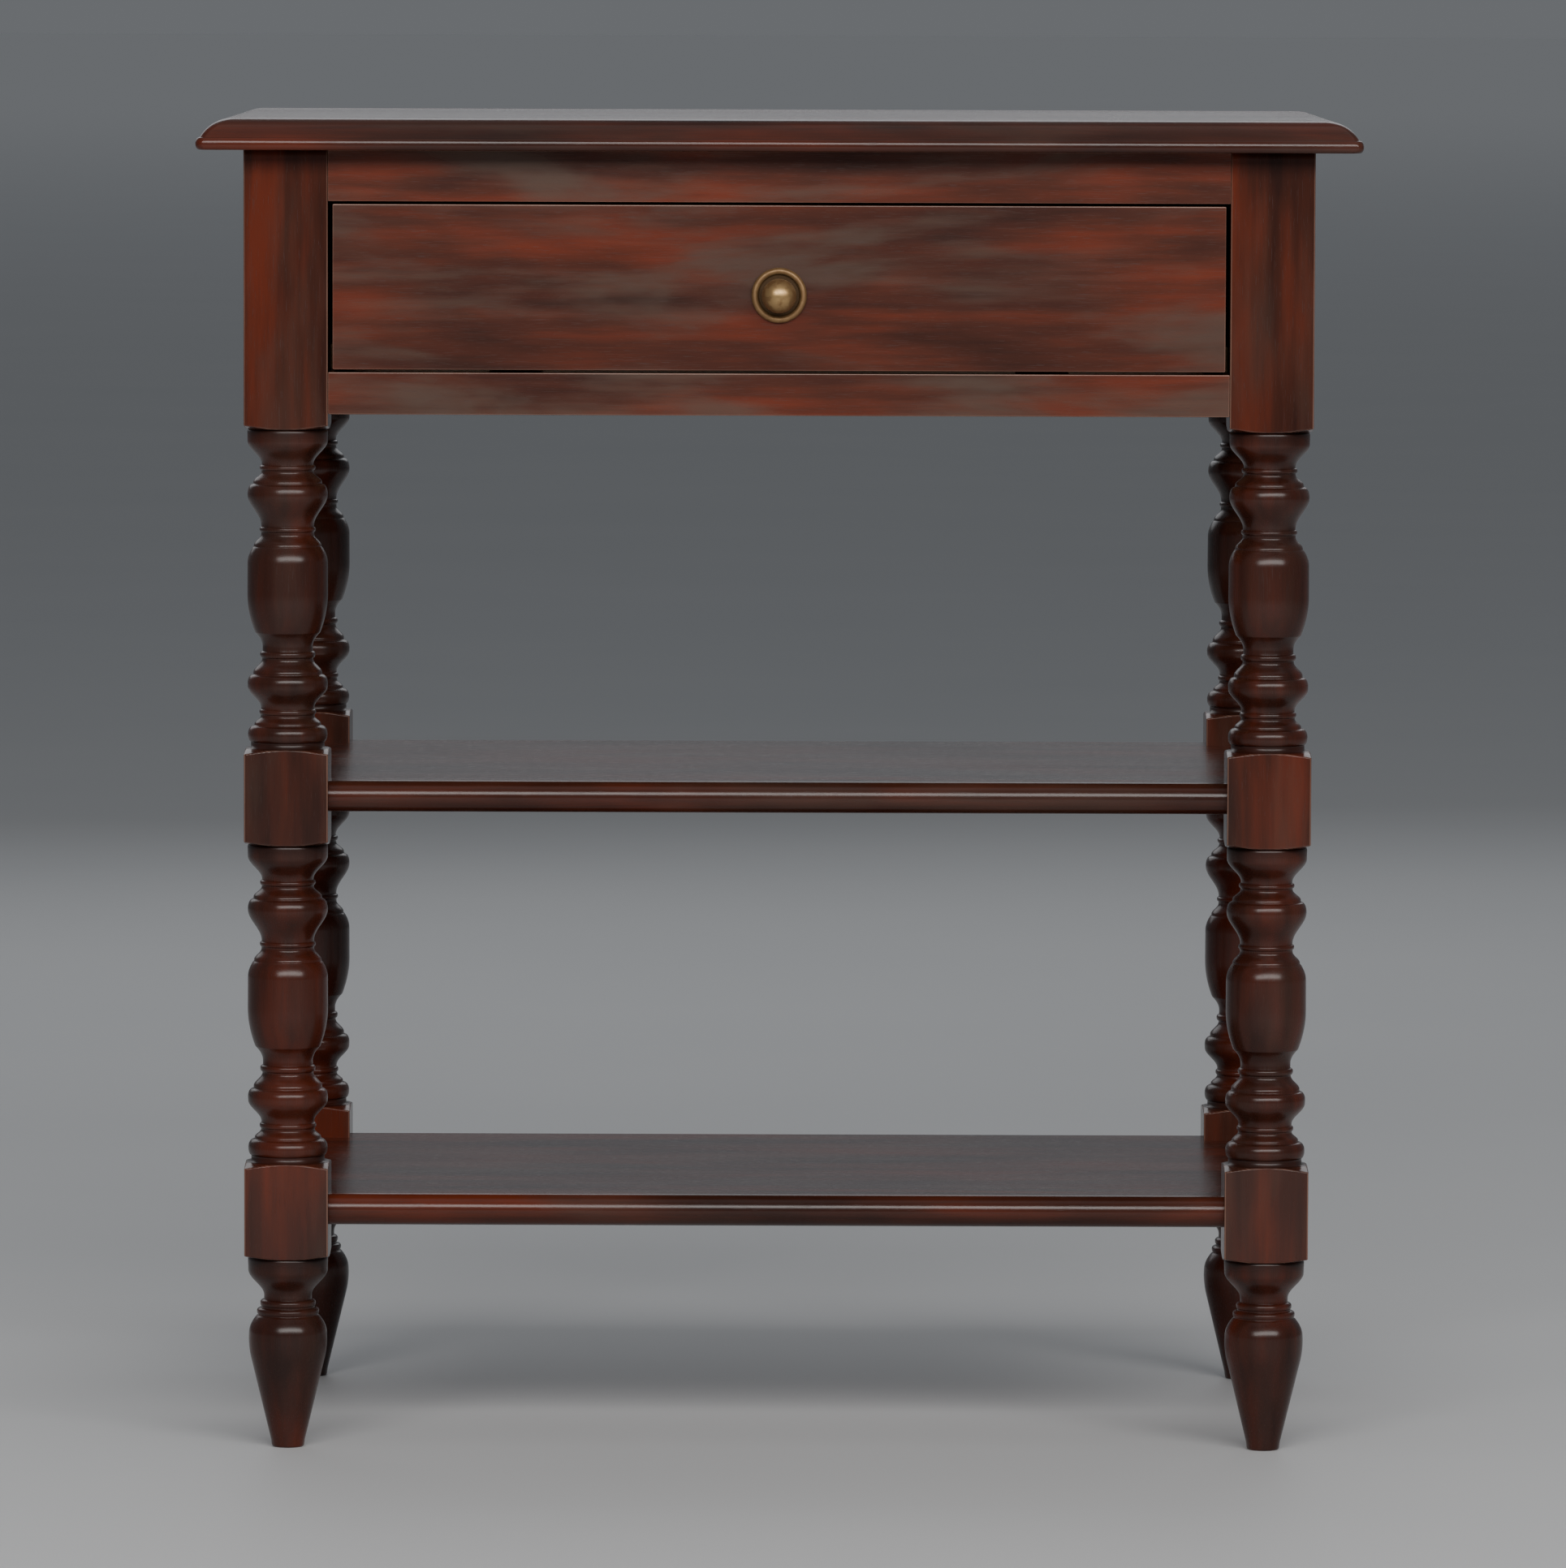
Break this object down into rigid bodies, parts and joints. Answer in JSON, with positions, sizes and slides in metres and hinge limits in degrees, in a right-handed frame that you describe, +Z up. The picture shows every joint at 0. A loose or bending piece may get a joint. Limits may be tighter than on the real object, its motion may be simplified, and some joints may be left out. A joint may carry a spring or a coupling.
{
  "type": "side table with drawer",
  "caption": "Rectangular side table on turned legs with a flush drawer under a moulded top and open shelves below, in dark stained wood with a brass knob.",
  "frame": {"origin": "on the floor, under the middle of the table", "axes": "+Z up, +X to the right when facing the drawer, -Y is the front that the drawer opens towards"},
  "size_m": [0.66, 0.404, 0.762],
  "materials": {
    "mahogany": "dark red-brown stain under satin lacquer",
    "drawer_lining": "bare planed secondary wood",
    "brass": "aged, rubbed bright on the rims",
    "steel": "plain"
  },
  "bodies": {
    "frame": {"table_top": "mahogany", "leg_front_left": "mahogany", "leg_front_right": "mahogany", "leg_back_left": "mahogany", "leg_back_right": "mahogany", "drawer_rail_upper": "mahogany", "drawer_rail_lower": "mahogany", "side_apron_left": "mahogany", "side_apron_right": "mahogany", "back_apron": "mahogany", "middle_shelf": "mahogany", "lower_shelf": "mahogany", "drawer_runner_left": "drawer_lining", "drawer_runner_right": "drawer_lining", "drawer_guide_left": "drawer_lining", "drawer_guide_right": "drawer_lining", "drawer_kicker_left": "drawer_lining", "drawer_kicker_right": "drawer_lining", "drawer_stops": "drawer_lining", "top_cleat_back": "drawer_lining", "middle_shelf_dowels": "drawer_lining", "lower_shelf_dowels": "drawer_lining", "top_screws": "steel", "guide_screws": "steel"},
    "drawer": {"drawer_front": "mahogany", "drawer_side_left": "drawer_lining", "drawer_side_right": "drawer_lining", "drawer_back": "drawer_lining", "drawer_bottom": "drawer_lining", "drawer_bottom_screws": "steel", "knob_backplate": "brass", "knob": "brass", "knob_screw": "steel"}
  },
  "joints": [
    {"name": "drawer_slide", "type": "slide", "parent": "frame", "child": "drawer", "axis": [0, -1, 0], "range_m": [0, 0.22]}
  ]
}
